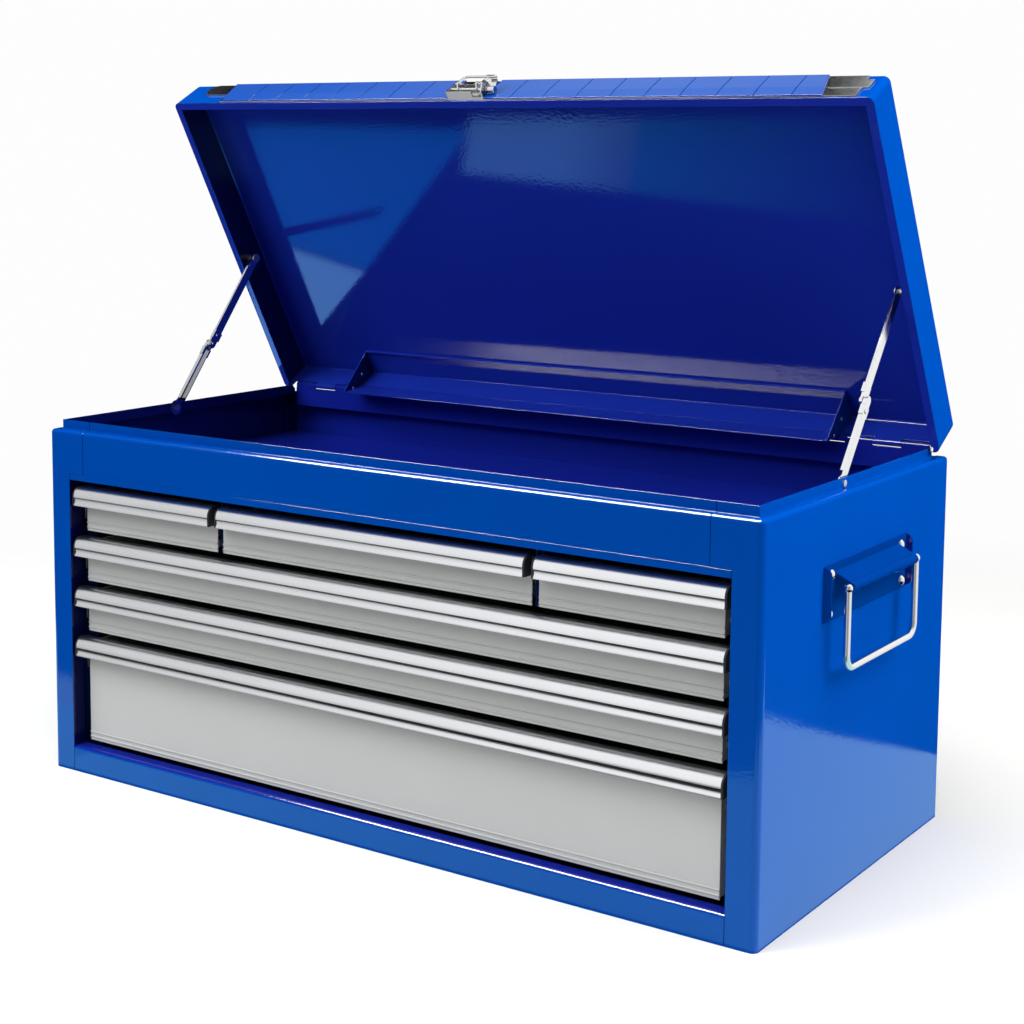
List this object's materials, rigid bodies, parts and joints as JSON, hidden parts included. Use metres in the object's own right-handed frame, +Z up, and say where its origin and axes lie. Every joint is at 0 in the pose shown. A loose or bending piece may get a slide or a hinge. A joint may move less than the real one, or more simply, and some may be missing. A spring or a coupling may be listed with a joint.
{
  "type": "portable tool chest",
  "caption": "Sheet-steel tool chest with three small drawers over three wide ones, an open till under a propped hinged lid, a front latch and drop handles on its sides.",
  "frame": {"origin": "centre of the cabinet's underside, on the surface that it stands on", "axes": "+X to the right seen from the front, +Y from the drawers to the back, +Z up; metres"},
  "size_m": [0.6934, 0.3285, 0.5813],
  "materials": {
    "blue_paint": "glossy blue enamel",
    "grey_paint": "satin grey enamel",
    "pull_aluminium": "satin anodised extrusion",
    "zinc_plate": "bright zinc plate",
    "bright_steel": "bright plated steel",
    "end_plug": "dark moulded plastic"
  },
  "bodies": {
    "cabinet": {"side_panel_left": "blue_paint", "side_panel_right": "blue_paint", "back_panel": "blue_paint", "base_pan": "blue_paint", "front_header": "blue_paint", "top_rail": "blue_paint", "bottom_rail": "blue_paint", "till_floor": "blue_paint", "divider_left": "blue_paint", "divider_right": "blue_paint", "slide_uprights": "blue_paint", "cabinet_slides": "zinc_plate", "hinge_body_leaf": "blue_paint", "hinge_pin": "zinc_plate", "handle_bracket_left": "blue_paint", "handle_bracket_right": "blue_paint", "handle_rivets": "bright_steel", "stay_rivets": "zinc_plate"},
    "lid": {"lid_shell": "blue_paint", "hinge_lid_leaf": "blue_paint", "lid_bracket": "blue_paint", "lid_rail": "bright_steel", "lid_rail_cover": "blue_paint", "latch_base": "bright_steel", "stay_studs": "zinc_plate"},
    "latch_lever": {"latch_lever": "bright_steel"},
    "latch_loop": {"latch_loop": "bright_steel"},
    "stay_lower_left": {"stay_lower_left": "bright_steel"},
    "stay_lower_right": {"stay_lower_right": "bright_steel"},
    "stay_upper_left": {"stay_upper_left": "bright_steel"},
    "stay_upper_right": {"stay_upper_right": "bright_steel"},
    "handle_bail_left": {"handle_bail_left": "bright_steel"},
    "handle_bail_right": {"handle_bail_right": "bright_steel"},
    "top_left_drawer": {"top_left_tray": "grey_paint", "top_left_pull": "pull_aluminium", "top_left_plugs": "end_plug", "top_left_runners": "zinc_plate"},
    "top_middle_drawer": {"top_middle_tray": "grey_paint", "top_middle_pull": "pull_aluminium", "top_middle_plugs": "end_plug", "top_middle_runners": "zinc_plate"},
    "top_right_drawer": {"top_right_tray": "grey_paint", "top_right_pull": "pull_aluminium", "top_right_plugs": "end_plug", "top_right_runners": "zinc_plate"},
    "second_drawer": {"second_tray": "grey_paint", "second_pull": "pull_aluminium", "second_plugs": "end_plug", "second_runners": "zinc_plate"},
    "third_drawer": {"third_tray": "grey_paint", "third_pull": "pull_aluminium", "third_plugs": "end_plug", "third_runners": "zinc_plate"},
    "bottom_drawer": {"bottom_tray": "grey_paint", "bottom_pull": "pull_aluminium", "bottom_plugs": "end_plug", "bottom_runners": "zinc_plate"}
  },
  "joints": [
    {"name": "lid_hinge", "type": "hinge", "parent": "cabinet", "child": "lid", "pos_m": [0, 0.1485, 0.2968], "axis": [1, 0, 0], "range_deg": [0, 61]},
    {"name": "stay_lower_left_pivot", "type": "hinge", "parent": "cabinet", "child": "stay_lower_left", "pos_m": [-0.319, -0.018, 0.2923], "axis": [1, 0, 0], "range_deg": [0, 135.1]},
    {"name": "stay_upper_left_pivot", "type": "hinge", "parent": "lid", "child": "stay_upper_left", "pos_m": [-0.316, 0.0835, 0.42107], "axis": [1, 0, 0], "range_deg": [-103.2, 0]},
    {"name": "stay_lower_right_pivot", "type": "hinge", "parent": "cabinet", "child": "stay_lower_right", "pos_m": [0.319, -0.018, 0.2923], "axis": [1, 0, 0], "range_deg": [0, 135.1]},
    {"name": "stay_upper_right_pivot", "type": "hinge", "parent": "lid", "child": "stay_upper_right", "pos_m": [0.316, 0.0835, 0.42107], "axis": [1, 0, 0], "range_deg": [-103.2, 0]},
    {"name": "handle_bail_left_swing", "type": "hinge", "parent": "cabinet", "child": "handle_bail_left", "pos_m": [-0.343, 0.006, 0.227], "axis": [0, 1, 0], "range_deg": [-8, 90]},
    {"name": "handle_bail_right_swing", "type": "hinge", "parent": "cabinet", "child": "handle_bail_right", "pos_m": [0.343, 0.006, 0.227], "axis": [0, -1, 0], "range_deg": [-8, 90]},
    {"name": "latch_lever_turn", "type": "hinge", "parent": "lid", "child": "latch_lever", "pos_m": [-0.0144, -0.00215, 0.57002], "axis": [1, 0, 0], "range_deg": [0, 60]},
    {"name": "latch_loop_swing", "type": "hinge", "parent": "latch_lever", "child": "latch_loop", "pos_m": [-0.0144, -0.00229, 0.5744], "axis": [1, 0, 0], "range_deg": [0, 100]},
    {"name": "top_left_slide", "type": "slide", "parent": "cabinet", "child": "top_left_drawer", "axis": [0, -1, 0], "range_m": [0, 0.215]},
    {"name": "top_middle_slide", "type": "slide", "parent": "cabinet", "child": "top_middle_drawer", "axis": [0, -1, 0], "range_m": [0, 0.215]},
    {"name": "top_right_slide", "type": "slide", "parent": "cabinet", "child": "top_right_drawer", "axis": [0, -1, 0], "range_m": [0, 0.215]},
    {"name": "second_slide", "type": "slide", "parent": "cabinet", "child": "second_drawer", "axis": [0, -1, 0], "range_m": [0, 0.215]},
    {"name": "third_slide", "type": "slide", "parent": "cabinet", "child": "third_drawer", "axis": [0, -1, 0], "range_m": [0, 0.215]},
    {"name": "bottom_slide", "type": "slide", "parent": "cabinet", "child": "bottom_drawer", "axis": [0, -1, 0], "range_m": [0, 0.215]}
  ],
  "couplings": [
    {"joint": "stay_lower_left_pivot", "follows": "lid_hinge", "ratio": 2.2133},
    {"joint": "stay_upper_left_pivot", "follows": "lid_hinge", "ratio": -1.6908},
    {"joint": "stay_lower_right_pivot", "follows": "lid_hinge", "ratio": 2.2133},
    {"joint": "stay_upper_right_pivot", "follows": "lid_hinge", "ratio": -1.6908}
  ]
}
